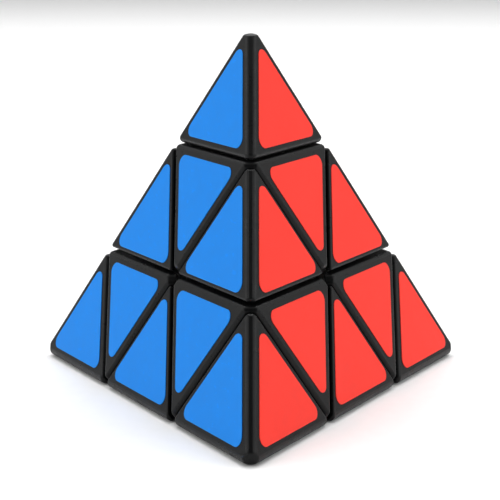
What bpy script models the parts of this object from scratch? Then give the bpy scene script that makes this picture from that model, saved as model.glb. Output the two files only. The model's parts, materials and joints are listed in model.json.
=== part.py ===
"""A pyramid twisty puzzle, modelled as the separate pieces that it comes apart into.

The puzzle is a regular tetrahedron, cut by two planes across each of its four turning axes. The tip
cut frees a corner tip, and the deep cut frees a whole layer: a tip, an axial piece and three edge
pieces. Inside, the axial pieces turn on the arms of a core. Each carries a spherical rim, and each
edge piece has a foot that slides under the rims of its two axial pieces, which holds it in.

The origin is the centre of the core, where the four axes meet. +Z points along the top axis, and -Y
faces the front corner. The puzzle rests on the face opposite the top corner. Units are metres.

Every piece is modelled once, in a frame with its own axis along +Z and its origin at the puzzle's
centre, and the copies share that mesh.
"""

import math

import bmesh
import bpy
from mathutils import Matrix, Vector

# The tetrahedron and its cuts. Distances are from the centre, along an axis.
EDGE = 0.102  # between the sharp corners, before they are blunted
FACE = EDGE / math.sqrt(24)  # distance of each outer face
CORNER = 3 * FACE
DEEP_CUT = FACE / 3
TIP_CUT = 0.03345
TIP_BLUNT = 0.0038  # how much of the sharp corner is missing
GAP = 0.0003  # between pieces that touch or slide
WALL = 0.0018
EDGE_SETBACK = 0.0005  # more room that an edge piece leaves beside its two axial pieces

# Edge rounding of the shells.
RIDGE_RADIUS = 0.0015
SEAM_RADIUS = 0.0008
ROUND_SEGMENTS = 2
FLAT = 0.999  # cosine between an outer face's normal and that of a face that lies on it

# Spherical layers of the mechanism, from the inside out, as radii about the centre.
BALL_RADIUS = 0.0085
FOOT_INNER = 0.0120
FOOT_OUTER = 0.0152
RIM_INNER = FOOT_OUTER + GAP
RIM_OUTER = 0.0188
SHELL_INNER = RIM_OUTER + 2 * GAP  # the cavity's flats lie a little inside its radius

# Cones of the mechanism, as half-angles about a turning axis.
AXIS_ANGLE = math.acos(-1 / 3)  # between any two axes
RIM_CONE = math.radians(47.5)
FOOT_CONE = math.radians(69.5)
NECK_CONE = math.radians(60.6)  # outer side of an edge's neck, clear of the next axial's rim
HUB_CONE = math.radians(38.5)  # inside the sweep of every foot

# Neck that joins an edge's foot to its shell.
NECK_HALF_WIDTH, NECK_HALF_LENGTH, NECK_TOP = 0.0040, 0.0060, 0.0260

# The stack on each axis, from the core outwards. Radii are about the axis, levels along it.
ARM_RADIUS, ARM_BOTTOM, ARM_TOP = 0.0031, BALL_RADIUS / 2, 0.0200
ARM_BORE = ARM_RADIUS + GAP
PILOT_RADIUS, PILOT_BOTTOM = 0.0016, 0.0090
SHELF_BOTTOM, SHELF_TOP = ARM_TOP + GAP, 0.0234
SLEEVE_BORE, SLEEVE_RADIUS, SLEEVE_TOP = 0.0049, 0.0062, 0.0326
STALK_RADIUS, STALK_BOTTOM = 0.0046, SHELF_TOP + GAP
SPRING_BORE, SPRING_SEAT = 0.0036, 0.0250
SHANK_BORE = 0.0017
PLATE_TOP = 0.0360
CLICK_RING = 0.00555  # radius of the ring of three click bumps
BUMP_RADIUS, DIMPLE_RADIUS = 0.00055, 0.0006
DIMPLE_RISE = DIMPLE_RADIUS / 3  # of its centre above the sleeve's end

# Spring, washer and screw.
COIL_RADIUS, WIRE_RADIUS, COIL_TURNS = 0.0027, 0.00035, 4
COIL_POINTS = 10  # per turn
CLOSED_SHARE = 0.13  # share of the wire, at each end, that lies nearly flat
CLOSED_CLIMB = 2.4 * WIRE_RADIUS
SPRING_BOTTOM, SPRING_TOP = SPRING_SEAT + GAP, 0.0346
WASHER_RADIUS, WASHER_HOLE = 0.0033, 0.0016
WASHER_BOTTOM, WASHER_TOP = SPRING_TOP + GAP, 0.0355
HEAD_RADIUS, HEAD_BOTTOM, HEAD_TOP = 0.0028, WASHER_TOP + GAP, 0.0380
HEAD_SIDE = 0.0009  # height of the straight side under the head's dome
SHANK_RADIUS, SCREW_BOTTOM, SCREW_POINT = 0.0013, 0.0098, 0.0010
RECESS_ARM, RECESS_WIDTH, RECESS_DEPTH = 0.0032, 0.0007, 0.0012

# Turned pieces and cutters, as segments round their axis.
TURNED_STEPS = 24
WASHER_STEPS = 16
SMALL_STEPS = 12
DOME_STEPS = 5
BALL_SEGMENTS = 24
CORE_SEGMENTS = 20
CUTTER_SEGMENTS = 32
SHARP_ANGLE = math.radians(35)  # faces that meet at less are shaded as one surface
SAME_POINT = 0.000001
OVERLAP = 0.001  # how far shapes that are joined or cut run into each other
FAR = 4 * EDGE  # larger than anything in the puzzle

UP = Vector((0, 0, 1))
CORNER_AZIMUTHS = {"front": -90, "left": 150, "right": 30}
HALF_ANGLE = AXIS_ANGLE / 2  # from an edge's own direction to either of its axes

MATERIALS = {
    "shell_black": ((0.030, 0.031, 0.033, 1), 0.42, 0.0),
    "mechanism_white": ((0.74, 0.74, 0.71, 1), 0.45, 0.0),
    "core_grey": ((0.30, 0.31, 0.33, 1), 0.5, 0.0),
    "zinc_steel": ((0.62, 0.62, 0.60, 1), 0.32, 1.0),
    "spring_steel": ((0.50, 0.51, 0.53, 1), 0.28, 1.0),
}


def direction(polar, azimuth=0.0):
    """Unit vector at these angles from +Z and about it, in radians."""
    return Vector((
        math.sin(polar) * math.cos(azimuth),
        math.sin(polar) * math.sin(azimuth),
        math.cos(polar),
    ))


OTHER_AXES = [direction(AXIS_ANGLE, math.radians(a)) for a in CORNER_AZIMUTHS.values()]


def axis_turns():
    """Rotation that carries the top axis to each named axis and the tetrahedron onto itself."""
    turns = {"top": Matrix.Identity(4)}
    to_front = Matrix.Rotation(AXIS_ANGLE, 4, "X") @ Matrix.Rotation(math.pi, 4, "Z")
    for name, azimuth in CORNER_AZIMUTHS.items():
        about_z = math.radians(azimuth - CORNER_AZIMUTHS["front"])
        turns[name] = Matrix.Rotation(about_z, 4, "Z") @ to_front
    return turns


def edge_turns(axes):
    """Rotation for each of the six edges: +Z to the middle of the edge, +X along it."""
    names = list(axes)
    turns = {}
    for i, first in enumerate(names):
        for second in names[i + 1:]:
            a, b = axes[first] @ UP, axes[second] @ UP
            outward, along = (a + b).normalized(), (a - b).normalized()
            columns = (along, outward.cross(along), outward)
            turns[f"{first}_{second}"] = Matrix(columns).transposed().to_4x4()
    return turns


# ---------------------------------------------------------------- shared modelling steps


def clear_scene():
    for obj in list(bpy.data.objects):
        bpy.data.objects.remove(obj)


def material(name):
    colour, roughness, metallic = MATERIALS[name]
    made = bpy.data.materials.new(name)
    made.use_nodes = True
    shader = made.node_tree.nodes["Principled BSDF"]
    shader.inputs["Base Color"].default_value = colour
    shader.inputs["Roughness"].default_value = roughness
    shader.inputs["Metallic"].default_value = metallic
    return made


def as_object(bm, name="shape"):
    """An object from a bmesh, linked so that its modifiers can be evaluated."""
    mesh = bpy.data.meshes.new(name)
    bm.to_mesh(mesh)
    bm.free()
    obj = bpy.data.objects.new(name, mesh)
    bpy.context.scene.collection.objects.link(obj)
    return obj


def evaluated_mesh(obj):
    """The object's mesh with its modifiers applied. The object is removed."""
    bpy.context.view_layer.update()
    graph = bpy.context.evaluated_depsgraph_get()
    mesh = bpy.data.meshes.new_from_object(obj.evaluated_get(graph))
    bpy.data.objects.remove(obj)
    return mesh


def boolean(obj, other, operation):
    """Applies one Boolean to obj and removes the other shape."""
    modifier = obj.modifiers.new(operation.lower(), "BOOLEAN")
    modifier.operation = operation
    modifier.solver = "EXACT"
    modifier.object = other
    made = bpy.data.objects.new(obj.name, evaluated_mesh(obj))
    bpy.context.scene.collection.objects.link(made)
    bpy.data.objects.remove(other)
    return made


def block(planes):
    """Convex solid behind planes given as (outward unit normal, distance from the origin)."""
    bm = bmesh.new()
    bmesh.ops.create_cube(bm, size=FAR)
    for normal, distance in planes:
        everything = bm.verts[:] + bm.edges[:] + bm.faces[:]
        cut = bmesh.ops.bisect_plane(
            bm, geom=everything, plane_co=normal * distance, plane_no=normal, clear_outer=True
        )
        rim = [item for item in cut["geom_cut"] if isinstance(item, bmesh.types.BMEdge)]
        if rim:
            bmesh.ops.contextual_create(bm, geom=rim)
    bmesh.ops.recalc_face_normals(bm, faces=bm.faces[:])
    return bm


def is_outer(face, outer_normals):
    return any(face.normal.dot(normal) > FLAT for normal in outer_normals)


def rounded_block(planes, outer_normals):
    """A block with its ridges, where two outer faces meet, rounder than its seams."""
    bm = block(planes)
    weights = bm.edges.layers.float.new("bevel_weight_edge")
    offsets = {}
    for edge in bm.edges:
        ridge = all(is_outer(face, outer_normals) for face in edge.link_faces)
        radius = RIDGE_RADIUS if ridge else SEAM_RADIUS
        half_dihedral = (math.pi - edge.calc_face_angle()) / 2
        offsets[edge] = radius / math.tan(half_dihedral)
    widest = max(offsets.values())
    for edge, offset in offsets.items():
        edge[weights] = offset / widest
    obj = as_object(bm)
    bevel = obj.modifiers.new("rounding", "BEVEL")
    bevel.limit_method = "WEIGHT"
    bevel.width = widest
    bevel.segments = ROUND_SEGMENTS
    made = bpy.data.objects.new("rounded", evaluated_mesh(obj))
    bpy.context.scene.collection.objects.link(made)
    return made


def cylinder(radius, bottom, top, segments=TURNED_STEPS):
    bm = bmesh.new()
    bmesh.ops.create_cone(
        bm, cap_ends=True, segments=segments, radius1=radius, radius2=radius, depth=top - bottom,
        matrix=Matrix.Translation(UP * (top + bottom) / 2),
    )
    return as_object(bm)


def sphere(radius, centre=(0, 0, 0), segments=BALL_SEGMENTS):
    bm = bmesh.new()
    bmesh.ops.create_uvsphere(
        bm, u_segments=segments, v_segments=segments // 2, radius=radius,
        matrix=Matrix.Translation(centre),
    )
    return as_object(bm)


def cone_about(axis, half_angle, height):
    """Solid cone from the origin along an axis."""
    bm = bmesh.new()
    stand = axis.to_track_quat("Z", "Y").to_matrix().to_4x4()
    bmesh.ops.create_cone(
        bm, cap_ends=True, segments=CUTTER_SEGMENTS, radius1=0, depth=height,
        radius2=height * math.tan(half_angle), matrix=stand @ Matrix.Translation(UP * height / 2),
    )
    return as_object(bm)


def box(low, high):
    bm = bmesh.new()
    low, high = Vector(low), Vector(high)
    size = Matrix.Diagonal((*(high - low), 1))
    bmesh.ops.create_cube(bm, size=1, matrix=Matrix.Translation((low + high) / 2) @ size)
    return as_object(bm)


def turned(profile, steps=TURNED_STEPS):
    """Solid of revolution from (radius, level) points that run down the outside and up the inside."""
    mesh = bpy.data.meshes.new("profile")
    count = len(profile)
    on_axis = profile[0][0] == 0 and profile[-1][0] == 0
    links = [(i, (i + 1) % count) for i in range(count - 1 if on_axis else count)]
    mesh.from_pydata([(radius, 0, level) for radius, level in profile], links, [])
    obj = bpy.data.objects.new("turned", mesh)
    bpy.context.scene.collection.objects.link(obj)
    screw = obj.modifiers.new("turn", "SCREW")
    screw.steps = screw.render_steps = steps
    screw.use_merge_vertices = True
    screw.merge_threshold = SAME_POINT
    made = bpy.data.objects.new("turned", evaluated_mesh(obj))
    bpy.context.scene.collection.objects.link(made)
    return made


def arc(radius, start, end, count):
    """Profile points on a circle about the centre, at angles from +Z."""
    angles = [start + (end - start) * i / (count - 1) for i in range(count)]
    return [(radius * math.sin(angle), radius * math.cos(angle)) for angle in angles]


def click_points(level):
    """The three places, under the ridges, where a tip clicks to a stop."""
    azimuths = [math.radians(a) for a in CORNER_AZIMUTHS.values()]
    return [Vector((CLICK_RING * math.cos(a), CLICK_RING * math.sin(a), level)) for a in azimuths]


# ---------------------------------------------------------------- outer shells


def corner_faces(inset=0.0):
    """Planes of the three outer faces that meet at the top corner, moved in by a wall."""
    return [(-axis, FACE - inset) for axis in OTHER_AXES]


def tip_cap():
    """Hollow corner, open underneath."""
    outer = corner_faces() + [(-UP, -(TIP_CUT + GAP / 2)), (UP, CORNER - TIP_BLUNT)]
    hollow = corner_faces(WALL) + [(-UP, -(TIP_CUT - OVERLAP))]
    normals = [-axis for axis in OTHER_AXES] + [UP]
    return boolean(rounded_block(outer, normals), as_object(block(hollow)), "DIFFERENCE")


def axial_planes(inset=0.0):
    deep = [(axis, DEEP_CUT - GAP / 2 - inset) for axis in OTHER_AXES]
    lid = [(UP, TIP_CUT - GAP / 2 - inset), (-UP, -(DEEP_CUT + GAP / 2 + inset))]
    return corner_faces(inset) + deep + lid


def axial_shell():
    """Hollow piece under a tip. Its roof has a round hole, and the rim ball is cut out below."""
    shell = rounded_block(axial_planes(), [-axis for axis in OTHER_AXES])
    shell = boolean(shell, as_object(block(axial_planes(WALL))), "DIFFERENCE")
    shell = boolean(shell, sphere(SHELL_INNER), "DIFFERENCE")
    hole = cylinder(SLEEVE_RADIUS + GAP, SHELL_INNER, TIP_CUT + OVERLAP)
    return boolean(shell, hole, "DIFFERENCE")


def edge_axes():
    """In an edge's own frame: its two turning axes, and the two axes that it isn't part of."""
    own = [direction(HALF_ANGLE), direction(HALF_ANGLE, math.pi)]
    quarter = math.pi / 2
    far = math.pi - HALF_ANGLE
    return own, [direction(far, quarter), direction(far, -quarter)]


def edge_planes(face_inset, seam_inset):
    own, others = edge_axes()
    faces = [(-axis, FACE - face_inset) for axis in others]
    return faces + [(-axis, -(DEEP_CUT + GAP / 2 + seam_inset)) for axis in own]


def edge_shell():
    """Hollow edge piece with two outer faces. The rim ball is cut out on its inner side."""
    shell = rounded_block(edge_planes(0, EDGE_SETBACK), [-axis for axis in edge_axes()[1]])
    shell = boolean(shell, as_object(block(edge_planes(WALL, WALL))), "DIFFERENCE")
    return boolean(shell, sphere(SHELL_INNER), "DIFFERENCE")


# ---------------------------------------------------------------- mechanism


def core_spider():
    """Ball with four arms, each with a blind pilot hole for its screw."""
    core = sphere(BALL_RADIUS, segments=CORE_SEGMENTS)
    for turn in axis_turns().values():
        arm = cylinder(ARM_RADIUS, ARM_BOTTOM, ARM_TOP, SMALL_STEPS)
        arm.data.transform(turn)
        core = boolean(core, arm, "UNION")
    for turn in axis_turns().values():
        pilot = cylinder(PILOT_RADIUS, PILOT_BOTTOM, ARM_TOP + OVERLAP, SMALL_STEPS)
        pilot.data.transform(turn)
        core = boolean(core, pilot, "DIFFERENCE")
    return core


def axial_foot():
    """Turned bearing of an axial piece: hub on the core's arm, spherical rim, and sleeve."""
    where_sleeve_lands = math.asin(SLEEVE_RADIUS / RIM_OUTER)
    profile = [(SLEEVE_RADIUS, SLEEVE_TOP)]
    profile += arc(RIM_OUTER, where_sleeve_lands, RIM_CONE, 4)
    profile += arc(RIM_INNER, RIM_CONE, HUB_CONE, 2)
    hub_bottom = arc(FOOT_INNER, HUB_CONE, HUB_CONE, 2)[0]
    profile += [hub_bottom, (ARM_BORE, hub_bottom[1])]
    profile += [(ARM_BORE, SHELF_BOTTOM), (SHANK_BORE, SHELF_BOTTOM)]
    profile += [(SHANK_BORE, SHELF_TOP), (SLEEVE_BORE, SHELF_TOP), (SLEEVE_BORE, SLEEVE_TOP)]
    foot = turned(profile)
    for place in click_points(SLEEVE_TOP + DIMPLE_RISE):
        foot = boolean(foot, sphere(DIMPLE_RADIUS, place, SMALL_STEPS // 2), "DIFFERENCE")
    return foot


def edge_foot():
    """Boat-shaped foot that slides under two rims, with a neck that plugs into the edge's shell."""
    own, others = edge_axes()
    foot = boolean(sphere(FOOT_OUTER), sphere(FOOT_INNER), "DIFFERENCE")
    inside_faces = [(-axis, FACE - WALL - GAP) for axis in others]
    ends = [(UP, NECK_TOP), (-UP, -(FOOT_INNER + FOOT_OUTER) / 2)]
    sides = [(Vector((0, sign, 0)), NECK_HALF_LENGTH) for sign in (1, -1)]
    sides += [(Vector((sign, 0, 0)), NECK_HALF_WIDTH) for sign in (1, -1)]
    neck = as_object(block(inside_faces + ends + sides))
    for axis in own:
        foot = boolean(foot, cone_about(axis, FOOT_CONE, FOOT_OUTER + OVERLAP), "INTERSECT")
        neck = boolean(neck, cone_about(axis, NECK_CONE, FACE + SHELL_INNER), "INTERSECT")
    return boolean(foot, neck, "UNION")


def tip_base():
    """Plate that closes a tip cap, with a hollow stalk for the spring and three click bumps."""
    plate = corner_faces(WALL + GAP) + [(-UP, -(TIP_CUT + GAP / 2)), (UP, PLATE_TOP)]
    base = as_object(block(plate))
    base = boolean(base, cylinder(STALK_RADIUS, STALK_BOTTOM, TIP_CUT + OVERLAP), "UNION")
    for place in click_points(TIP_CUT + GAP / 2):
        base = boolean(base, sphere(BUMP_RADIUS, place, SMALL_STEPS // 2), "UNION")
    base = boolean(base, cylinder(SPRING_BORE, SPRING_SEAT, PLATE_TOP + OVERLAP), "DIFFERENCE")
    hole = cylinder(SHANK_BORE, STALK_BOTTOM - OVERLAP, SPRING_SEAT + OVERLAP)
    return boolean(base, hole, "DIFFERENCE")


# ---------------------------------------------------------------- spring, washer and screw


def spring():
    """Compression spring: a wire helix whose end turns close up to sit flat."""
    count = COIL_TURNS * COIL_POINTS
    low = SPRING_BOTTOM + WIRE_RADIUS
    open_rise = SPRING_TOP - WIRE_RADIUS - low - 2 * CLOSED_CLIMB
    curve = bpy.data.curves.new("coil", "CURVE")
    curve.dimensions = "3D"
    curve.bevel_depth = WIRE_RADIUS
    curve.bevel_resolution = 1
    curve.use_fill_caps = True
    spline = curve.splines.new("POLY")
    spline.points.add(count)
    for i, point in enumerate(spline.points):
        share = i / count
        inner = min(max((share - CLOSED_SHARE) / (1 - 2 * CLOSED_SHARE), 0), 1)
        ends = (min(share, CLOSED_SHARE) + max(share - 1 + CLOSED_SHARE, 0)) / CLOSED_SHARE
        level = low + CLOSED_CLIMB * ends + open_rise * inner
        angle = 2 * math.pi * i / COIL_POINTS
        point.co = (COIL_RADIUS * math.cos(angle), COIL_RADIUS * math.sin(angle), level, 1)
    obj = bpy.data.objects.new("coil", curve)
    bpy.context.scene.collection.objects.link(obj)
    mesh = evaluated_mesh(obj)
    bm = bmesh.new()
    bm.from_mesh(mesh)
    bmesh.ops.remove_doubles(bm, verts=bm.verts, dist=SAME_POINT)
    return as_object(bm)


def washer():
    return turned([
        (WASHER_RADIUS, WASHER_TOP), (WASHER_RADIUS, WASHER_BOTTOM),
        (WASHER_HOLE, WASHER_BOTTOM), (WASHER_HOLE, WASHER_TOP),
    ], WASHER_STEPS)


def screw():
    """Pan-head screw with a cross recess and a plain, pointed shank."""
    dome_rise = HEAD_TOP - HEAD_BOTTOM - HEAD_SIDE
    dome = [(HEAD_RADIUS * math.sin(a), HEAD_BOTTOM + HEAD_SIDE + dome_rise * math.cos(a))
            for a in (math.pi / 2 * i / DOME_STEPS for i in range(1, DOME_STEPS + 1))]
    profile = [(0, HEAD_TOP), *dome, (HEAD_RADIUS, HEAD_BOTTOM), (SHANK_RADIUS, HEAD_BOTTOM)]
    profile += [(SHANK_RADIUS, SCREW_BOTTOM + SCREW_POINT), (0, SCREW_BOTTOM)]
    made = turned(profile, SMALL_STEPS)
    half_width, half_arm = RECESS_WIDTH / 2, RECESS_ARM / 2
    bottom, top = HEAD_TOP - RECESS_DEPTH, HEAD_TOP + OVERLAP
    for half_x, half_y in ((half_arm, half_width), (half_width, half_arm)):
        slot = box((-half_x, -half_y, bottom), (half_x, half_y, top))
        made = boolean(made, slot, "DIFFERENCE")
    return made


# ---------------------------------------------------------------- assembly


def place(prototype, names_and_turns, suffix, look, collection):
    """Copies of one piece, each turned about the puzzle's centre to its own axis."""
    mesh = prototype.data
    bpy.data.objects.remove(prototype)
    mesh.name = suffix
    mesh.shade_smooth()
    mesh.set_sharp_from_angle(angle=SHARP_ANGLE)
    mesh.materials.clear()
    mesh.materials.append(look)
    for name, turn in names_and_turns.items():
        obj = bpy.data.objects.new(f"{name}_{suffix}".lstrip("_"), mesh)
        obj.matrix_world = turn
        collection.objects.link(obj)


def main():
    clear_scene()
    collection = bpy.data.collections.new("pyramid_puzzle")
    bpy.context.scene.collection.children.link(collection)
    looks = {name: material(name) for name in MATERIALS}
    axes = axis_turns()
    edges = edge_turns(axes)
    centre = {"": Matrix.Identity(4)}
    place(core_spider(), centre, "core_spider", looks["core_grey"], collection)
    place(tip_cap(), axes, "tip_cap", looks["shell_black"], collection)
    place(tip_base(), axes, "tip_base", looks["mechanism_white"], collection)
    place(axial_shell(), axes, "axial_shell", looks["shell_black"], collection)
    place(axial_foot(), axes, "axial_foot", looks["mechanism_white"], collection)
    place(screw(), axes, "tension_screw", looks["zinc_steel"], collection)
    place(washer(), axes, "washer", looks["zinc_steel"], collection)
    place(spring(), axes, "spring", looks["spring_steel"], collection)
    place(edge_shell(), edges, "edge_shell", looks["shell_black"], collection)
    place(edge_foot(), edges, "edge_foot", looks["mechanism_white"], collection)


main()
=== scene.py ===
"""Looks of the pyramid twisty puzzle: fine shells, coloured stickers, mechanism and a studio.

Every piece is modelled once, in a frame with its own turning axis along +Z and its origin at the
puzzle's centre. Copies share that mesh and are turned about the centre onto the other axes.
Units are metres.
"""

import json
import math

import bmesh
import bpy
from mathutils import Matrix, Vector

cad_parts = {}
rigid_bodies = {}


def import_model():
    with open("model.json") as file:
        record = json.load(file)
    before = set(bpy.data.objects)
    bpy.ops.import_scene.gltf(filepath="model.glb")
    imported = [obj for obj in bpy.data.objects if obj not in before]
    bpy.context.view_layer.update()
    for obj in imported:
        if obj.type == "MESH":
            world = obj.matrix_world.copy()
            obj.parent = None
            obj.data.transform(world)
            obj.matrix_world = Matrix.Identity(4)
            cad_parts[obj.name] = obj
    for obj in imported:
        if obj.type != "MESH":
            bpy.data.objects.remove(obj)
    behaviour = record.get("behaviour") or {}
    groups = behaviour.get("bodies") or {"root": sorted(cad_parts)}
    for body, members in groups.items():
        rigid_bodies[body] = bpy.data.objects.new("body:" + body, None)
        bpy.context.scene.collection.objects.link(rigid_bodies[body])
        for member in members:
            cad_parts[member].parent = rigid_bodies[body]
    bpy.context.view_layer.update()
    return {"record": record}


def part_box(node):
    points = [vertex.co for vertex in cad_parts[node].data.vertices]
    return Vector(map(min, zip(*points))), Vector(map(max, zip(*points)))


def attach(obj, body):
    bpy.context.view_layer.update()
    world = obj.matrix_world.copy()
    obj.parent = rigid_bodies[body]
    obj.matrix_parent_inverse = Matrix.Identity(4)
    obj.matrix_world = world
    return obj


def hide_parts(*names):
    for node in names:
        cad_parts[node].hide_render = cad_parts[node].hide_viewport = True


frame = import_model()
NODE_BODY = {
    node: body
    for body, nodes in frame["record"]["behaviour"]["bodies"].items()
    for node in nodes
}

# The tetrahedron and its cuts, as distances from the centre along an axis, read from the frame.
GAP = 0.0003
FACE = -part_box("front_tip_cap")[0].z
CORNER = 3 * FACE
DEEP_CUT = FACE / 3
TIP_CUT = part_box("top_tip_cap")[0].z - GAP / 2
TIP_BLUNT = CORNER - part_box("top_tip_cap")[1].z
WALL = 0.0018

# Rounding of the shells, and how much is cut off their corners.
RIDGE_RADIUS = 0.0015
TIP_RADIUS = 0.0010
CROWN_RADIUS = 0.0026
CROWN_SPREAD = math.radians(22)
AXIAL_RADIUS = 0.0011
AXIAL_BLUNT = 0.0018
EDGE_RADIUS = 0.0005
EDGE_SETBACK = 0.0005
EDGE_RIDGE_BLUNT = 0.0027
EDGE_MIDDLE_BLUNT = 0.0020
ROUND_SEGMENTS = 5
TURNED_STEPS = 96
SMALL_SEGMENTS = 16
SHARP_ANGLE = math.radians(30)
LEVEL_ANGLE = math.radians(0.1)  # a hull's faces that meet at less become one
BY_AREA = 100  # WEIGHTED_NORMAL's weight that lets the large flats set the shading
SHELL_SLOT = "shell_black"
ROUNDING = "rounding"  # name of the mark on a shell's faces
ROUNDING_WIDTH = 0.0007  # faces narrower than this are part of a rounded edge
SCRATCH_TURN = (0.9, 0.5, 0.3)  # angles that set which way scratches and flow marks run
COLOUR_A, COLOUR_B = 6, 7  # the Mix node's sockets for two colours
FLAT = 0.99999  # cosine between a plane's normal and that of a face that lies on it
SAME_POINT = 0.000001


def reach(node):
    """Lowest and highest level of the top axis's node, and how far it reaches from the axis."""
    low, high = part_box(f"top_{node}")
    return low.z, high.z, high.x


# Spherical layers of the mechanism as radii about the centre, and its cones as half-angles.
BALL_RADIUS = 0.0085
FOOT_INNER, FOOT_OUTER = 0.0120, 0.0152
RIM_INNER, RIM_OUTER = FOOT_OUTER + GAP, 0.0188
CAVITY_RADIUS = RIM_OUTER + GAP
RIM_CONE, HUB_CONE = math.radians(47.5), math.radians(38.5)
FOOT_CONE, NECK_CONE = math.radians(69.5), math.radians(60.6)
NECK_HALF_WIDTH, NECK_HALF_LENGTH, NECK_TOP = 0.0040, 0.0060, 0.0260

# The stack on each axis: radii about the axis and levels along it.
ARM_RADIUS, ARM_TOP, ARM_FILLET = 0.0031, 0.0200, 0.0016
PILOT_RADIUS, PILOT_BOTTOM = 0.0016, 0.0090
SHELF_BOTTOM, SHELF_TOP = ARM_TOP + GAP, 0.0234
SLEEVE_RADIUS, SLEEVE_BORE, SLEEVE_TOP = 0.0062, 0.0049, reach("axial_foot")[1]
ROOF_HOLE = SLEEVE_RADIUS + GAP
STALK_RADIUS, (STALK_BOTTOM, PLATE_TOP, _) = 0.0046, reach("tip_base")
SPRING_BORE, SPRING_SEAT, SHANK_BORE = 0.0036, 0.0250, 0.0017
CLICK_RING, BUMP_RADIUS, DIMPLE_RADIUS = 0.00555, 0.00055, 0.0006
WASHER_BOTTOM, WASHER_TOP, WASHER_RADIUS = reach("washer")
WASHER_HOLE = 0.0016
SPRING_BOTTOM, SPRING_TOP, _ = reach("spring")
COIL_RADIUS, WIRE_RADIUS, COIL_TURNS = 0.0027, 0.00035, 4
CLOSED_SHARE, CLOSED_CLIMB = 0.13, 2.4 * WIRE_RADIUS  # the spring's nearly flat end turns
SCREW_BOTTOM, SCREW_TOP, HEAD_RADIUS = reach("tension_screw")
HEAD_BOTTOM, HEAD_SIDE, SHANK_RADIUS = WASHER_TOP + GAP, 0.0009, 0.0013
THREAD_TOP, THREAD_PITCH, THREAD_DEPTH = 0.0215, 0.0007, 0.00032
POINT_LENGTH, POINT_SHARE = 0.0010, 0.3  # the share of its radius that the point ends with
RIDGE_STEEPNESS, CREST_SHARE = 2.6, 0.95  # the crest stays just inside the plain shank
RECESS_ARM, RECESS_WIDTH, RECESS_DEPTH = 0.0032, 0.0007, 0.0012
RECESS_END = (0.5, 0.8)  # length and width of a recess wing at its bottom, as shares
MOULDED_RADIUS = 0.00025  # on the corners of inner plastic pieces
STEEL_RADIUS = 0.0001
MOST_OF_SIDE = 0.4  # how much of a short side a rounded corner may take

# Stickers. Borders are plastic left bare beside a sticker, in the plane of the face.
STICKER_PROUD = 0.00012
STICKER_SUNK = 0.00005
STICKER_CORNER = 0.0018
STICKER_EDGE = 0.00006
OUTER_BORDER = 0.0029
TIP_BORDER = 0.0022
AXIAL_BORDER = 0.0020
SEAM_BORDER = 0.0018
AXIAL_SEAM_BORDER = 0.0020

AXIS_ANGLE = math.acos(-1 / 3)  # between any two axes
HALF_ANGLE = AXIS_ANGLE / 2  # from an edge's own direction to either of its axes
CORNER_AZIMUTHS = {"front": -90, "left": 150, "right": 30}
UP = Vector((0, 0, 1))
OVERLAP = 0.001
FAR = 20 * FACE
FACE_COLOURS = {
    "right": ("blue", (0.006, 0.228, 0.765)),
    "left": ("red", (0.960, 0.045, 0.030)),
    "front": ("green", (0.020, 0.420, 0.110)),
    "top": ("yellow", (0.900, 0.700, 0.030)),
}  # each face is named for the axis of the corner opposite it

BLACK, WHITE, GREY = (0.0040, 0.0042, 0.0044), (0.74, 0.74, 0.71), (0.30, 0.31, 0.33)
ZINC, ZINC_TINT = (0.62, 0.62, 0.60), (0.66, 0.60, 0.46)
WIRE, WIRE_TINT = (0.50, 0.51, 0.53), (0.42, 0.43, 0.47)

# Camera and studio.
CAMERA_ELEVATION = math.radians(11.97)
CAMERA_DISTANCE = 0.3849
CAMERA_AIM = Vector((-0.00014, 0, 0.01063))
CAMERA_LENS = 124.5
FLOOR_SIZE = 8.0
FLOOR_COLOUR = (0.90, 0.90, 0.90)
FLOOR_ROUGHNESS = 0.8
WORLD_STRENGTH = 0.03
# Each soft box: its place, its width and height, and its power in watts.
PAIRED_BOXES = {
    "side": ((1.1, -0.15, 0.62), (1.2, 1.0), 8.1),
    "back": ((1.0, 0.70, 0.54), (1.0, 1.0), 2.1),
    "front": ((1.0, -0.75, 0.22), (0.9, 0.6), 1.5),
}  # the right one of each pair
OVERHEAD_BOXES = {
    "top": ((0, 0, 1.3), (1.2, 1.0), 4.0),
    "top_back": ((0, 0.6, 1.1), (1.2, 1.0), 14.9),
    "top_far": ((0, 2.2, 1.6), (2.4, 1.2), 8.0),
}


def direction(polar, azimuth=0.0):
    """Unit vector at these angles from +Z and about it, in radians."""
    return Vector((
        math.sin(polar) * math.cos(azimuth),
        math.sin(polar) * math.sin(azimuth),
        math.cos(polar),
    ))


OTHER_AXES = [direction(AXIS_ANGLE, math.radians(a)) for a in CORNER_AZIMUTHS.values()]


def axis_turns():
    """Rotation that carries the top axis to each named axis and the tetrahedron onto itself."""
    turns = {"top": Matrix.Identity(4)}
    to_front = Matrix.Rotation(AXIS_ANGLE, 4, "X") @ Matrix.Rotation(math.pi, 4, "Z")
    for name, azimuth in CORNER_AZIMUTHS.items():
        about_z = math.radians(azimuth - CORNER_AZIMUTHS["front"])
        turns[name] = Matrix.Rotation(about_z, 4, "Z") @ to_front
    return turns


def from_axes(x_axis, z_axis):
    """Rotation with these unit vectors as its X and Z."""
    return Matrix((x_axis, z_axis.cross(x_axis), z_axis)).transposed().to_4x4()


def edge_turns(axes):
    """Rotation for each of the six edges: +Z to the middle of the edge, +X along it."""
    names = list(axes)
    turns = {}
    for i, first in enumerate(names):
        for second in names[i + 1:]:
            a, b = axes[first] @ UP, axes[second] @ UP
            turns[f"{first}_{second}"] = from_axes((a - b).normalized(), (a + b).normalized())
    return turns


AXES = axis_turns()
EDGES = edge_turns(AXES)


# ---------------------------------------------------------------- materials


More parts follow.
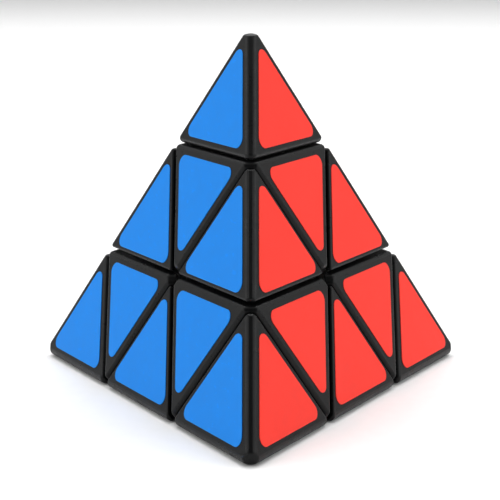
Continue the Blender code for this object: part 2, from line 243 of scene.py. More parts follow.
class Nodes:
    """A material's node tree, with a short way to add nodes and link them."""

    def __init__(self, name):
        self.material = bpy.data.materials.new(name)
        self.material.use_nodes = True
        self.tree = self.material.node_tree
        self.shader = self.tree.nodes["Principled BSDF"]

    def add(self, kind, **settings):
        node = self.tree.nodes.new(kind)
        for key, value in settings.items():
            if key in node.inputs:
                node.inputs[key].default_value = value
            else:
                setattr(node, key, value)
        return node

    def link(self, output, socket):
        self.tree.links.new(output, socket)

    def coordinates(self):
        return self.add("ShaderNodeTexCoord").outputs["Object"]

    def noise(self, scale, detail=2.0, roughness=0.5, stretch=None):
        """Noise with features of about 1/scale metres, stretched by this much along each axis."""
        node = self.add("ShaderNodeTexNoise", Scale=scale, Detail=detail, Roughness=roughness)
        place = self.coordinates()
        if stretch:
            mapping = self.add("ShaderNodeMapping")
            mapping.inputs["Scale"].default_value = [1 / share for share in stretch]
            mapping.inputs["Rotation"].default_value = SCRATCH_TURN
            self.link(place, mapping.inputs["Vector"])
            place = mapping.outputs["Vector"]
        self.link(place, node.inputs["Vector"])
        return node.outputs["Fac"]

    def scratches(self, scale=1500):
        """Mask of fine, nearly straight hairlines."""
        hair = self.noise(scale, detail=1, stretch=(1, 60, 1))
        return self.between(hair, 0, 1, start=0.66, end=0.74)

    def math(self, operation, first, second):
        node = self.add("ShaderNodeMath", operation=operation)
        for value, socket in zip((first, second), node.inputs):
            if isinstance(value, (int, float)):
                socket.default_value = value
            else:
                self.link(value, socket)
        return node.outputs["Value"]

    def on_rounding(self, scale=900):
        """Mask of the places on a shell's rounded edges that handling has polished."""
        where = self.add("ShaderNodeAttribute", attribute_name=ROUNDING).outputs["Fac"]
        return self.math("MULTIPLY", where, self.between(self.noise(scale, detail=3), 0, 1))

    def between(self, factor, low, high, start=0.3, end=0.7):
        """The factor, stretched from start..end onto low..high."""
        node = self.add("ShaderNodeMapRange")
        self.link(factor, node.inputs["Value"])
        for key, value in (("From Min", start), ("From Max", end), ("To Min", low), ("To Max", high)):
            node.inputs[key].default_value = value
        return node.outputs["Result"]

    def mix(self, factor, first, second):
        node = self.add("ShaderNodeMix", data_type="RGBA")
        self.link(factor, node.inputs["Factor"])
        for socket, colour in ((COLOUR_A, first), (COLOUR_B, second)):
            node.inputs[socket].default_value = (*colour, 1)
        return node.outputs[2]

    def mix_into(self, factor, first, second):
        """The first colour, a socket, with the second mixed in by the factor."""
        node = self.add("ShaderNodeMix", data_type="RGBA")
        self.link(factor, node.inputs["Factor"])
        self.link(first, node.inputs[COLOUR_A])
        node.inputs[COLOUR_B].default_value = (*second, 1)
        return node.outputs[2]

    def bump(self, height, distance, strength=1.0, onto=None):
        node = self.add("ShaderNodeBump", Strength=strength, Distance=distance)
        self.link(height, node.inputs["Height"])
        if onto is not None:
            self.link(onto, node.inputs["Normal"])
        return node.outputs["Normal"]


def scaled(colour, factor):
    return tuple(min(channel * factor, 1.0) for channel in colour)


def moulded_plastic(name, colour, roughness, specular=0.5, grain=0.000006, worn=0.10):
    """Injection-moulded plastic: spark grain, flow marks, hairlines and polished edges."""
    n = Nodes(name)
    slow = n.noise(60, detail=3)
    flow = n.noise(160, detail=2, stretch=(1, 6, 1))
    polished = n.on_rounding()
    body = n.mix(slow, scaled(colour, 0.85), scaled(colour, 1.15))
    n.link(n.mix_into(polished, body, scaled(colour, 1.6)), n.shader.inputs["Base Color"])
    matt = n.between(flow, roughness - 0.03, roughness + 0.05)
    matt = n.math("SUBTRACT", matt, n.math("MULTIPLY", polished, worn))
    matt = n.math("ADD", matt, n.math("MULTIPLY", n.scratches(), 0.12))
    n.link(matt, n.shader.inputs["Roughness"])
    sparks = n.bump(n.noise(2600, detail=3, roughness=0.7), grain)
    n.link(n.bump(n.scratches(), -0.000002, onto=sparks), n.shader.inputs["Normal"])
    n.shader.inputs["Specular IOR Level"].default_value = specular
    return n.material


def sticker_film(name, colour):
    """Satin vinyl: orange peel, a slower ripple from its glue, faint mottle and hairlines."""
    n = Nodes(name)
    mottle = n.noise(260, detail=5, roughness=0.65)
    scratches = n.scratches(1100)
    body = n.mix(mottle, scaled(colour, 0.93), scaled(colour, 1.07))
    paler = n.math("MULTIPLY", scratches, 0.35)
    n.link(n.mix_into(paler, body, scaled(colour, 1.25)), n.shader.inputs["Base Color"])
    matt = n.math("ADD", n.between(mottle, 0.46, 0.54), n.math("MULTIPLY", scratches, 0.1))
    n.link(matt, n.shader.inputs["Roughness"])
    n.shader.inputs["Specular IOR Level"].default_value = 0.12
    ripple = n.bump(n.noise(130, detail=1), 0.000012)
    n.link(n.bump(n.noise(1400, detail=2), 0.000004, onto=ripple), n.shader.inputs["Normal"])
    return n.material


def metal(name, colour, tint, roughness, stretch=(1, 8, 1)):
    """Plated or drawn steel: fine streaks, and patches where its coat takes another tint."""
    n = Nodes(name)
    n.shader.inputs["Metallic"].default_value = 1.0
    streaks = n.noise(2500, detail=3, stretch=stretch)
    patches = n.between(n.noise(700, detail=3), 0, 1, start=0.45, end=0.7)
    body = n.mix(streaks, scaled(colour, 0.8), scaled(colour, 1.1))
    n.link(n.mix_into(patches, body, tint), n.shader.inputs["Base Color"])
    n.link(n.between(streaks, roughness - 0.08, roughness + 0.1), n.shader.inputs["Roughness"])
    n.link(n.bump(streaks, 0.000003), n.shader.inputs["Normal"])
    return n.material


# ---------------------------------------------------------------- shared modelling steps


def as_object(bm, name="shape"):
    """An object from a bmesh, linked so that its modifiers can be evaluated."""
    mesh = bpy.data.meshes.new(name)
    bm.to_mesh(mesh)
    bm.free()
    obj = bpy.data.objects.new(name, mesh)
    bpy.context.scene.collection.objects.link(obj)
    return obj


def applied(obj):
    """The object with its modifiers applied, as a new object in place of the old one."""
    bpy.context.view_layer.update()
    graph = bpy.context.evaluated_depsgraph_get()
    mesh = bpy.data.meshes.new_from_object(obj.evaluated_get(graph))
    bpy.data.objects.remove(obj)
    made = bpy.data.objects.new("shape", mesh)
    bpy.context.scene.collection.objects.link(made)
    return made


def boolean(obj, other, operation):
    modifier = obj.modifiers.new(operation.lower(), "BOOLEAN")
    modifier.operation = operation
    modifier.solver = "EXACT"
    modifier.object = other
    made = applied(obj)
    bpy.data.objects.remove(other)
    return made


def cut_away(bm, planes):
    """Leaves what is behind planes given as (outward unit normal, distance from the origin)."""
    for normal, distance in planes:
        everything = bm.verts[:] + bm.edges[:] + bm.faces[:]
        cut = bmesh.ops.bisect_plane(
            bm, geom=everything, plane_co=normal * distance, plane_no=normal, clear_outer=True
        )
        rim = [item for item in cut["geom_cut"] if isinstance(item, bmesh.types.BMEdge)]
        if rim:
            bmesh.ops.contextual_create(bm, geom=rim)
    bmesh.ops.recalc_face_normals(bm, faces=bm.faces[:])


def block(planes):
    """Convex solid behind the planes."""
    bm = bmesh.new()
    bmesh.ops.create_cube(bm, size=FAR)
    cut_away(bm, planes)
    return bm


def ridged_block(faces, radius):
    """The block behind the faces, with the ridges between them rounded to the radius."""
    bm = block(faces)
    ridges = [
        edge for edge in bm.edges
        if all(any(face.normal.dot(n) > FLAT for n, _ in faces) for face in edge.link_faces)
    ]
    half_dihedral = (math.pi - ridges[0].calc_face_angle()) / 2
    bmesh.ops.bevel(
        bm, geom=ridges, offset=radius / math.tan(half_dihedral), segments=ROUND_SEGMENTS,
        affect="EDGES", profile=0.5, clamp_overlap=False,
    )
    return bm


def around_corner(vert, radius):
    """Points on the ball at a corner, in the directions that the rounded corner faces."""
    normals = [face.normal.copy() for face in vert.link_faces]
    middle = sum(normals, Vector()).normalized()
    for edge in vert.link_edges:
        first, second = (face.normal for face in edge.link_faces)
        for across in range(ROUND_SEGMENTS + 1):
            outward = first.slerp(second, across / ROUND_SEGMENTS)
            for inward in range(ROUND_SEGMENTS):
                yield vert.co + radius * outward.slerp(middle, inward / ROUND_SEGMENTS)


def hull(points):
    """Convex solid around the points, with its flats left whole."""
    bm = bmesh.new()
    for point in points:
        bm.verts.new(point)
    bmesh.ops.remove_doubles(bm, verts=bm.verts[:], dist=SAME_POINT)
    made = bmesh.ops.convex_hull(bm, input=bm.verts[:])
    inside = [v for v in made["geom_interior"] if isinstance(v, bmesh.types.BMVert)]
    bmesh.ops.delete(bm, geom=inside, context="VERTS")
    bmesh.ops.dissolve_limit(
        bm, angle_limit=LEVEL_ANGLE, verts=bm.verts[:], edges=bm.edges[:]
    )
    bmesh.ops.recalc_face_normals(bm, faces=bm.faces[:])
    return as_object(bm)


def rounded_block(faces, cuts, radius, extra_points=()):
    """Outer faces with rounded ridges, cut by planes whose edges are rounded to the radius."""
    bm = ridged_block([(normal, distance - radius) for normal, distance in faces],
                      RIDGE_RADIUS - radius)
    cut_away(bm, [(normal, distance - radius) for normal, distance in cuts])
    bmesh.ops.remove_doubles(bm, verts=bm.verts[:], dist=SAME_POINT)
    points = [point for vert in bm.verts for point in around_corner(vert, radius)]
    bm.free()
    return hull(points + list(extra_points))


def cylinder(radius, bottom, top, segments=64):
    bm = bmesh.new()
    bmesh.ops.create_cone(
        bm, cap_ends=True, segments=segments, radius1=radius, radius2=radius, depth=top - bottom,
        matrix=Matrix.Translation(UP * (top + bottom) / 2),
    )
    return as_object(bm)


def sphere(radius, centre=(0, 0, 0), segments=64):
    bm = bmesh.new()
    bmesh.ops.create_uvsphere(
        bm, u_segments=segments, v_segments=segments // 2, radius=radius,
        matrix=Matrix.Translation(centre),
    )
    return as_object(bm)


def turned(profile, steps=TURNED_STEPS):
    """Solid of revolution from (radius, level) points that run down the outside and up the inside."""
    mesh = bpy.data.meshes.new("profile")
    count = len(profile)
    on_axis = profile[0][0] == 0 and profile[-1][0] == 0
    links = [(i, (i + 1) % count) for i in range(count - 1 if on_axis else count)]
    mesh.from_pydata([(radius, 0, level) for radius, level in profile], links, [])
    obj = bpy.data.objects.new("turned", mesh)
    bpy.context.scene.collection.objects.link(obj)
    screw_modifier = obj.modifiers.new("turn", "SCREW")
    screw_modifier.steps = screw_modifier.render_steps = steps
    screw_modifier.use_merge_vertices = True
    screw_modifier.merge_threshold = SAME_POINT
    return applied(obj)


def softened(profile, radius, steps=4):
    """The profile with its sharp corners off the axis rounded, by up to this much of each side."""
    points = []
    corners = [Vector(point) for point in profile]
    for i, here in enumerate(corners):
        before = corners[i - 1]
        after = corners[(i + 1) % len(corners)]
        if here.x == 0 or (here - before).angle(after - here) < SHARP_ANGLE:
            points.append(tuple(here))
            continue
        start, end = (here.lerp(other, min(radius / (other - here).length, MOST_OF_SIDE))
                      for other in (before, after))
        for step in range(steps + 1):
            share = step / steps
            points.append(tuple(start.lerp(here, share).lerp(here.lerp(end, share), share)))
    return points


def arc(radius, start, end, count):
    """Profile points on a circle about the centre, at angles from +Z."""
    angles = [start + (end - start) * i / (count - 1) for i in range(count)]
    return [(radius * math.sin(angle), radius * math.cos(angle)) for angle in angles]


def cone_about(axis, half_angle, height):
    """Solid cone from the origin along an axis."""
    bm = bmesh.new()
    stand = axis.to_track_quat("Z", "Y").to_matrix().to_4x4()
    bmesh.ops.create_cone(
        bm, cap_ends=True, segments=TURNED_STEPS, radius1=0, depth=height,
        radius2=height * math.tan(half_angle), matrix=stand @ Matrix.Translation(UP * height / 2),
    )
    return as_object(bm)


def mark_roundings(mesh):
    """Marks the narrow faces of rounded edges, which the plastic's material wears."""
    mark = mesh.attributes.new(ROUNDING, "FLOAT", "FACE")
    for face in mesh.polygons:
        corners = [mesh.vertices[i].co for i in face.vertices]
        longest = max((a - b).length for a, b in zip(corners, corners[1:] + corners[:1]))
        mark.data[face.index].value = float(face.area / longest < ROUNDING_WIDTH)


def placed(prototype, names_and_turns, suffix, look, slot):
    """Copies of a piece, each turned onto its own axis, riding with and replacing its CAD node."""
    mesh = prototype.data
    bpy.data.objects.remove(prototype)
    mesh.name = suffix
    mesh.shade_smooth()
    mesh.set_sharp_from_angle(angle=SHARP_ANGLE)
    holder = bpy.data.objects.new("shading", mesh)
    bpy.context.scene.collection.objects.link(holder)
    weighting = holder.modifiers.new("flat_shading", "WEIGHTED_NORMAL")
    weighting.keep_sharp = True
    weighting.weight = BY_AREA
    holder = applied(holder)
    mesh = holder.data
    bpy.data.objects.remove(holder)
    if slot == SHELL_SLOT:
        mark_roundings(mesh)
    mesh.materials.clear()
    mesh.materials.append(look)
    for name, turn in names_and_turns.items():
        node = f"{name}_{suffix}".lstrip("_")
        obj = bpy.data.objects.new(f"{node}_fine", mesh.copy())
        obj.data.transform(turn)
        bpy.context.scene.collection.objects.link(obj)
        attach(obj, NODE_BODY[node])
        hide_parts(node)


# ---------------------------------------------------------------- outer shells


def corner_faces(inset=0.0):
    """Planes of the three outer faces that meet at the top corner, moved in by a wall."""
    return [(-axis, FACE - inset) for axis in OTHER_AXES]


def hollow(planes):
    """The block inside these planes, to cut out of a shell."""
    return as_object(block(planes))


def crown_points(radius, top, spread, segments=32, rings=6):
    """Points on the top of a ball whose highest point is at this level, out to a polar angle."""
    centre = UP * (top - radius)
    return [
        centre + radius * direction(spread * ring / rings, 2 * math.pi * step / segments)
        for ring in range(rings + 1) for step in range(segments)
    ]


def tip_cap():
    """Hollow corner with a slightly crowned end, open underneath."""
    top = CORNER - TIP_BLUNT
    cuts = [(-UP, -(TIP_CUT + GAP / 2)), (UP, top - CROWN_RADIUS * (1 - math.cos(CROWN_SPREAD)))]
    crown = crown_points(CROWN_RADIUS, top, CROWN_SPREAD)
    cap = rounded_block(corner_faces(), cuts, TIP_RADIUS, crown)
    inner = corner_faces(WALL) + [(-UP, -(TIP_CUT - OVERLAP))]
    return boolean(cap, hollow(inner), "DIFFERENCE")


def axial_cuts(inset=0.0):
    cuts = [(axis, DEEP_CUT - GAP / 2 - inset) for axis in OTHER_AXES]
    cuts.append((-UP, -(DEEP_CUT + GAP / 2 + inset)))
    cuts.append((UP, TIP_CUT - GAP / 2 - inset))
    return cuts


def axial_blunts():
    """Planes that take the points off an axial piece, one in the middle of each outer face."""
    return [((-axis - UP).normalized(), FACE / math.sqrt(3) - AXIAL_BLUNT) for axis in OTHER_AXES]


def axial_shell():
    """Hollow piece under a tip, with a round hole in its roof and the rim's ball cut out below."""
    shell = rounded_block(corner_faces(), axial_cuts() + axial_blunts(), AXIAL_RADIUS)
    shell = boolean(shell, hollow(corner_faces(WALL) + axial_cuts(WALL)), "DIFFERENCE")
    shell = boolean(shell, sphere(CAVITY_RADIUS), "DIFFERENCE")
    return boolean(shell, cylinder(ROOF_HOLE, CAVITY_RADIUS, TIP_CUT + OVERLAP), "DIFFERENCE")


def edge_axes():
    """In an edge's own frame: its two turning axes, and the two axes that it isn't part of."""
    own = [direction(HALF_ANGLE), direction(HALF_ANGLE, math.pi)]
    quarter = math.pi / 2
    far = math.pi - HALF_ANGLE
    return own, [direction(far, quarter), direction(far, -quarter)]


def edge_faces(inset=0.0):
    return [(-axis, FACE - inset) for axis in edge_axes()[1]]


def edge_cuts(inset):
    return [(-axis, -(DEEP_CUT + GAP / 2 + inset)) for axis in edge_axes()[0]]


def edge_blunts():
    """Planes that take the four points off an edge piece, which is a regular tetrahedron."""
    middle = UP * 2 * FACE / math.sqrt(3)
    own, others = edge_axes()
    depths = [(axis, EDGE_RIDGE_BLUNT) for axis in own]
    depths += [(axis, EDGE_MIDDLE_BLUNT) for axis in others]
    return [(axis, middle.dot(axis) + FACE - depth) for axis, depth in depths]


def edge_shell():
    """Hollow edge piece with two outer faces and the rim's ball cut out on its inner side."""
    shell = rounded_block(edge_faces(), edge_cuts(EDGE_SETBACK) + edge_blunts(), EDGE_RADIUS)
    shell = boolean(shell, hollow(edge_faces(WALL) + edge_cuts(WALL)), "DIFFERENCE")
    return boolean(shell, sphere(CAVITY_RADIUS), "DIFFERENCE")


# ---------------------------------------------------------------- mechanism


def click_points(level):
    """The three places, under the ridges, where a tip clicks to a stop."""
    azimuths = [math.radians(a) for a in CORNER_AZIMUTHS.values()]
    return [Vector((CLICK_RING * math.cos(a), CLICK_RING * math.sin(a), level)) for a in azimuths]


def core_spider():
    """Ball with four arms, each flared into a boss on it and bored for its screw."""
    core = sphere(BALL_RADIUS)
    flare_top = BALL_RADIUS + ARM_FILLET
    angles = [math.pi / 2 * i / ROUND_SEGMENTS for i in range(ROUND_SEGMENTS + 1)]
    fillet = [(ARM_RADIUS + ARM_FILLET * (1 - math.cos(a)), flare_top - ARM_FILLET * math.sin(a))
              for a in angles]
    profile = [(0, ARM_TOP), (ARM_RADIUS, ARM_TOP), *fillet]
    profile += [(fillet[-1][0], BALL_RADIUS / 2), (0, BALL_RADIUS / 2)]
    for turn in AXES.values():
        arm = turned(softened(profile, MOULDED_RADIUS))
        arm.data.transform(turn)
        core = boolean(core, arm, "UNION")
    for turn in AXES.values():
        pilot = cylinder(PILOT_RADIUS, PILOT_BOTTOM, ARM_TOP + OVERLAP)
        pilot.data.transform(turn)
        core = boolean(core, pilot, "DIFFERENCE")
    return core


def axial_foot():
    """Turned bearing of an axial piece: hub on the core's arm, spherical rim, and sleeve."""
    where_sleeve_lands = math.asin(SLEEVE_RADIUS / RIM_OUTER)
    arm_bore = ARM_RADIUS + GAP
    profile = [(SLEEVE_RADIUS, SLEEVE_TOP)]
    profile += arc(RIM_OUTER, where_sleeve_lands, RIM_CONE, 16)
    profile += arc(RIM_INNER, RIM_CONE, HUB_CONE, 8)
    hub_bottom = arc(FOOT_INNER, HUB_CONE, HUB_CONE, 2)[0]
    profile += [hub_bottom, (arm_bore, hub_bottom[1])]
    profile += [(arm_bore, SHELF_BOTTOM), (SHANK_BORE, SHELF_BOTTOM)]
    profile += [(SHANK_BORE, SHELF_TOP), (SLEEVE_BORE, SHELF_TOP), (SLEEVE_BORE, SLEEVE_TOP)]
    foot = turned(softened(profile, MOULDED_RADIUS))
    for place in click_points(SLEEVE_TOP + DIMPLE_RADIUS / 3):
        foot = boolean(foot, sphere(DIMPLE_RADIUS, place, SMALL_SEGMENTS), "DIFFERENCE")
    return foot


def edge_foot():
    """Boat-shaped foot that slides under two rims, with a neck that plugs into the edge's shell."""
    own, others = edge_axes()
    foot = boolean(sphere(FOOT_OUTER), sphere(FOOT_INNER), "DIFFERENCE")
    inside_faces = [(-axis, FACE - WALL - GAP) for axis in others]
    ends = [(UP, NECK_TOP), (-UP, -(FOOT_INNER + FOOT_OUTER) / 2)]
    sides = [(Vector((0, sign, 0)), NECK_HALF_LENGTH) for sign in (1, -1)]
    sides += [(Vector((sign, 0, 0)), NECK_HALF_WIDTH) for sign in (1, -1)]
    neck = hollow(inside_faces + ends + sides)
    for axis in own:
        foot = boolean(foot, cone_about(axis, FOOT_CONE, FOOT_OUTER + OVERLAP), "INTERSECT")
        neck = boolean(neck, cone_about(axis, NECK_CONE, CORNER), "INTERSECT")
    return boolean(foot, neck, "UNION")


def tip_base():
    """Plate that closes a tip cap, with a hollow stalk for the spring and three click bumps."""
    cuts = [(-UP, -(TIP_CUT + GAP / 2)), (UP, PLATE_TOP)]
    base = rounded_block(corner_faces(WALL + GAP), cuts, MOULDED_RADIUS)
    inside_plate = TIP_CUT + OVERLAP
    stalk = [(0, inside_plate), (STALK_RADIUS, inside_plate), (STALK_RADIUS, STALK_BOTTOM),
             (0, STALK_BOTTOM)]
    base = boolean(base, turned(softened(stalk, MOULDED_RADIUS)), "UNION")
    for place in click_points(TIP_CUT + GAP / 2):
        base = boolean(base, sphere(BUMP_RADIUS, place, SMALL_SEGMENTS), "UNION")
    base = boolean(base, cylinder(SPRING_BORE, SPRING_SEAT, PLATE_TOP + OVERLAP), "DIFFERENCE")
    hole = cylinder(SHANK_BORE, STALK_BOTTOM - OVERLAP, SPRING_SEAT + OVERLAP)
    return boolean(base, hole, "DIFFERENCE")


def spring(points_per_turn=48):
    """Compression spring: a round wire helix whose end turns close up to sit flat."""
    count = COIL_TURNS * points_per_turn
    low = SPRING_BOTTOM + WIRE_RADIUS
    open_rise = SPRING_TOP - WIRE_RADIUS - low - 2 * CLOSED_CLIMB
    curve = bpy.data.curves.new("coil", "CURVE")
    curve.dimensions = "3D"
    curve.bevel_depth = WIRE_RADIUS
    curve.bevel_resolution = 4
    curve.use_fill_caps = True
    spline = curve.splines.new("POLY")
    spline.points.add(count)
    for i, point in enumerate(spline.points):
        share = i / count
        inner = min(max((share - CLOSED_SHARE) / (1 - 2 * CLOSED_SHARE), 0), 1)
        ends = (min(share, CLOSED_SHARE) + max(share - 1 + CLOSED_SHARE, 0)) / CLOSED_SHARE
        level = low + CLOSED_CLIMB * ends + open_rise * inner
        angle = 2 * math.pi * i / points_per_turn
        point.co = (COIL_RADIUS * math.cos(angle), COIL_RADIUS * math.sin(angle), level, 1)
    coil = bpy.data.objects.new("coil", curve)
    bpy.context.scene.collection.objects.link(coil)
    coil = applied(coil)
    bm = bmesh.new()
    bm.from_mesh(coil.data)
    bpy.data.objects.remove(coil)
    bmesh.ops.remove_doubles(bm, verts=bm.verts[:], dist=SAME_POINT)
    return as_object(bm)


def washer():
    return turned(softened([
        (WASHER_RADIUS, WASHER_TOP), (WASHER_RADIUS, WASHER_BOTTOM),
        (WASHER_HOLE, WASHER_BOTTOM), (WASHER_HOLE, WASHER_TOP),
    ], STEEL_RADIUS))


def thread(segments=36, rows_per_turn=8):
    """Rod with a helical ridge, from a blunt point up into the plain part of the shank."""
    top = THREAD_TOP + OVERLAP
    rows = round((top - SCREW_BOTTOM) / THREAD_PITCH * rows_per_turn)
    root = SHANK_RADIUS - THREAD_DEPTH
    bm = bmesh.new()
    rings = []
    for row in range(rows + 1):
        level = SCREW_BOTTOM + (top - SCREW_BOTTOM) * row / rows
        up_point = (level - SCREW_BOTTOM) / POINT_LENGTH
        taper = min(POINT_SHARE + (1 - POINT_SHARE) * up_point, 1)
        fade = min(max((THREAD_TOP - level) / THREAD_PITCH, 0), 1)
        ring = []
        for step in range(segments):
            phase = (level / THREAD_PITCH - step / segments) % 1
            ridge = max(1 - RIDGE_STEEPNESS * abs(phase - 0.5), 0) * fade
            radius = (root + CREST_SHARE * THREAD_DEPTH * ridge) * taper
            angle = 2 * math.pi * step / segments
            ring.append(bm.verts.new((radius * math.cos(angle), radius * math.sin(angle), level)))
        rings.append(ring)
    for lower, upper in zip(rings, rings[1:]):
        for i in range(segments):
            j = (i + 1) % segments
            bm.faces.new((lower[i], lower[j], upper[j], upper[i]))
    bm.faces.new(rings[0][::-1])
    bm.faces.new(rings[-1])
    return as_object(bm)


def recess_wings():
    """Cutter for one pair of the cross recess's wings, which narrow towards the bottom."""
    bm = bmesh.new()
    bottom, top = SCREW_TOP - RECESS_DEPTH, SCREW_TOP + OVERLAP
    size = Matrix.Diagonal((RECESS_ARM, RECESS_WIDTH, top - bottom, 1))
    middle = Matrix.Translation(UP * (top + bottom) / 2)
    bmesh.ops.create_cube(bm, size=1, matrix=middle @ size)
    for vert in bm.verts:
        if vert.co.z < (top + bottom) / 2:
            vert.co.x *= RECESS_END[0]
            vert.co.y *= RECESS_END[1]
    return as_object(bm)


def screw():
    """Pan-head screw with a cross recess and a thread on the lower part of its shank."""
    dome_rise = SCREW_TOP - HEAD_BOTTOM - HEAD_SIDE
    angles = [math.pi / 2 * i / ROUND_SEGMENTS / 2 for i in range(1, 2 * ROUND_SEGMENTS + 1)]
    dome = [(HEAD_RADIUS * math.sin(a), HEAD_BOTTOM + HEAD_SIDE + dome_rise * math.cos(a))
            for a in angles]
    profile = [(0, SCREW_TOP), *dome, (HEAD_RADIUS, HEAD_BOTTOM), (SHANK_RADIUS, HEAD_BOTTOM)]
    profile += [(SHANK_RADIUS, THREAD_TOP), (0, THREAD_TOP)]
    made = turned(softened(profile, STEEL_RADIUS))
    for quarter in range(2):
        wings = recess_wings()
        wings.data.transform(Matrix.Rotation(quarter * math.pi / 2, 4, "Z"))
        made = boolean(made, wings, "DIFFERENCE")
    return boolean(made, thread(), "UNION")


# ---------------------------------------------------------------- stickers


def sticker_outline(apex_angle, base, sides, corner=STICKER_CORNER, steps=8):
    """Equilateral triangle with rounded corners, in the plane of a face.

    Its apex points along apex_angle. base and sides are the distances of its lines from the face's
    middle, each measured along that line's outward normal.
    """
    normals = [apex_angle + math.pi, apex_angle + math.pi / 3, apex_angle - math.pi / 3]
    # Lines moved in by the corner radius meet at the arcs' centres.
    lines = [(Vector((math.cos(a), math.sin(a))), d - corner)
             for a, d in zip(normals, (base, sides, sides))]
    points = []
    for i, turn in ((0, 0), (2, 1), (1, 2)):
        (n1, d1), (n2, d2) = lines[i], lines[(i + 2) % 3]
        det = n1.x * n2.y - n1.y * n2.x
        centre = Vector(((d1 * n2.y - d2 * n1.y) / det, (n1.x * d2 - n2.x * d1) / det))
        start = normals[0] + turn * 2 * math.pi / 3
        for step in range(steps + 1):
            angle = start + 2 * math.pi / 3 * step / steps
            points.append(centre + corner * Vector((math.cos(angle), math.sin(angle))))
    return points


def sticker(outline):
    """Thin plate on a face, its middle at the origin and its outward side +Z, with a soft edge."""
    bm = bmesh.new()
    face = bm.faces.new([bm.verts.new((p.x, p.y, -STICKER_SUNK)) for p in outline])
    if face.normal.z < 0:
        face.normal_flip()
    rise = bmesh.ops.extrude_face_region(bm, geom=[face])
    top = [item for item in rise["geom"] if isinstance(item, bmesh.types.BMVert)]
    bmesh.ops.translate(bm, verts=top, vec=UP * (STICKER_SUNK + STICKER_PROUD))
    bmesh.ops.recalc_face_normals(bm, faces=bm.faces[:])
    level = STICKER_PROUD - SAME_POINT
    rim = [e for e in bm.edges if all(v.co.z > level for v in e.verts)]
    bmesh.ops.bevel(
        bm, geom=rim, offset=STICKER_EDGE, segments=2, affect="EDGES", profile=0.5,
        clamp_overlap=True,
    )
    return as_object(bm)


def sticker_shapes():
    """The three stickers beside one corner of a face that points along +Y: tip, axial and edge."""
    inradius = FACE * math.sqrt(2)
    # Where the tip cut crosses the face, from the face's middle towards the corner.
    cut = (TIP_CUT - DEEP_CUT) / math.sin(AXIS_ANGLE)
    up, down = math.pi / 2, -math.pi / 2
    return {
        "tip": sticker_outline(up, -(cut + TIP_BORDER), inradius - OUTER_BORDER),
        "axial": sticker_outline(down, cut - AXIAL_BORDER, -AXIAL_SEAM_BORDER),
        "edge": sticker_outline(up, inradius - OUTER_BORDER, -SEAM_BORDER),
    }


def place_stickers():
    shapes = {kind: sticker(outline).data for kind, outline in sticker_shapes().items()}
    for obj in [o for o in bpy.data.objects if o.data in shapes.values()]:
        bpy.data.objects.remove(obj)
    for opposite, (colour_name, colour) in FACE_COLOURS.items():
        film = sticker_film(f"sticker_{colour_name}", colour)
        normal = -(AXES[opposite] @ UP)
        for corner in [name for name in AXES if name != opposite]:
            towards = AXES[corner] @ UP
            in_plane = (towards - normal * towards.dot(normal)).normalized()
            turn = Matrix.Translation(normal * FACE) @ from_axes(in_plane.cross(normal), normal)
            others = [name for name in AXES if name not in (opposite, corner)]
            nodes = {
                "tip": f"{corner}_tip_cap",
                "axial": f"{corner}_axial_shell",
                "edge": f"{others[0]}_{others[1]}_edge_shell",
            }
            for kind, node in nodes.items():
                name = f"{colour_name}_sticker_{node[:node.rfind('_')]}"
                obj = bpy.data.objects.new(name, shapes[kind].copy())
                obj.data.materials.append(film)
                obj.data.transform(turn)
                bpy.context.scene.collection.objects.link(obj)
                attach(obj, NODE_BODY[node])


# ---------------------------------------------------------------- studio


def softbox(name, place, size, power, aim=(0, 0, 0.01)):
    light = bpy.data.lights.new(name, "AREA")
    light.shape = "RECTANGLE"
    light.size, light.size_y = size
    light.energy = power
    obj = bpy.data.objects.new(name, light)
    obj.location = place
    obj.rotation_euler = (Vector(aim) - Vector(place)).to_track_quat("-Z", "Y").to_euler()
    bpy.context.scene.collection.objects.link(obj)


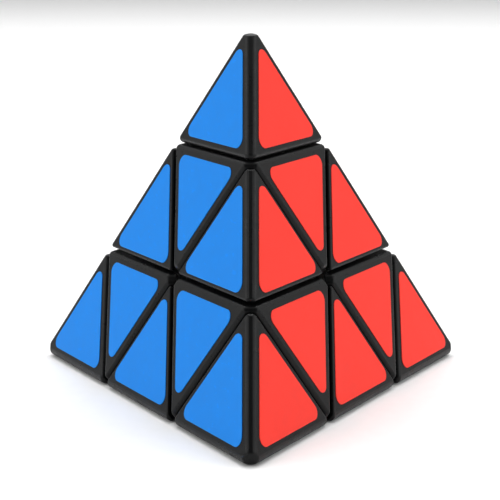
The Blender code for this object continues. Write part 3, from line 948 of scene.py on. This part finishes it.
def studio():
    """White floor under soft boxes in mirrored pairs, with one large box overhead and behind."""
    scene = bpy.context.scene
    scene.view_settings.view_transform = "Standard"
    world = bpy.data.worlds.new("studio")
    world.use_nodes = True
    background = world.node_tree.nodes["Background"]
    background.inputs["Color"].default_value = (1, 1, 1, 1)
    background.inputs["Strength"].default_value = WORLD_STRENGTH
    scene.world = world
    for name, (place, size, power) in PAIRED_BOXES.items():
        for hand, sign in (("left", -1), ("right", 1)):
            softbox(f"{hand}_{name}_box", (sign * place[0], *place[1:]), size, power)
    for name, (place, size, power) in OVERHEAD_BOXES.items():
        softbox(f"{name}_box", place, size, power)

    bm = bmesh.new()
    bmesh.ops.create_grid(bm, x_segments=1, y_segments=1, size=FLOOR_SIZE / 2)
    floor = as_object(bm, "floor")
    floor.location.z = -FACE - STICKER_PROUD
    n = Nodes("floor_white")
    grain = n.noise(300)
    body = n.mix(grain, scaled(FLOOR_COLOUR, 0.98), scaled(FLOOR_COLOUR, 1.02))
    n.link(body, n.shader.inputs["Base Color"])
    n.shader.inputs["Roughness"].default_value = FLOOR_ROUGHNESS
    floor.data.materials.append(n.material)


def camera():
    back = Vector((0, -math.cos(CAMERA_ELEVATION), math.sin(CAMERA_ELEVATION)))
    data = bpy.data.cameras.new("camera")
    data.lens = CAMERA_LENS
    obj = bpy.data.objects.new("camera", data)
    obj.location = CAMERA_AIM + back * CAMERA_DISTANCE
    obj.rotation_euler = (-back).to_track_quat("-Z", "Y").to_euler()
    bpy.context.scene.collection.objects.link(obj)
    bpy.context.scene.camera = obj


def main():
    black = moulded_plastic("black_plastic", BLACK, roughness=0.36, specular=0.15)
    placed(tip_cap(), AXES, "tip_cap", black, SHELL_SLOT)
    placed(axial_shell(), AXES, "axial_shell", black, SHELL_SLOT)
    placed(edge_shell(), EDGES, "edge_shell", black, SHELL_SLOT)
    place_stickers()
    white = moulded_plastic("white_plastic", WHITE, roughness=0.42)
    grey = moulded_plastic("grey_plastic", GREY, roughness=0.45)
    zinc = metal("zinc", ZINC, ZINC_TINT, roughness=0.30)
    wire = metal("wire", WIRE, WIRE_TINT, roughness=0.26)
    placed(core_spider(), {"": Matrix.Identity(4)}, "core_spider", grey, "core_grey")
    placed(tip_base(), AXES, "tip_base", white, "mechanism_white")
    placed(axial_foot(), AXES, "axial_foot", white, "mechanism_white")
    placed(edge_foot(), EDGES, "edge_foot", white, "mechanism_white")
    placed(screw(), AXES, "tension_screw", zinc, "zinc_steel")
    placed(washer(), AXES, "washer", zinc, "zinc_steel")
    placed(spring(), AXES, "spring", wire, "spring_steel")
    camera()
    studio()


main()
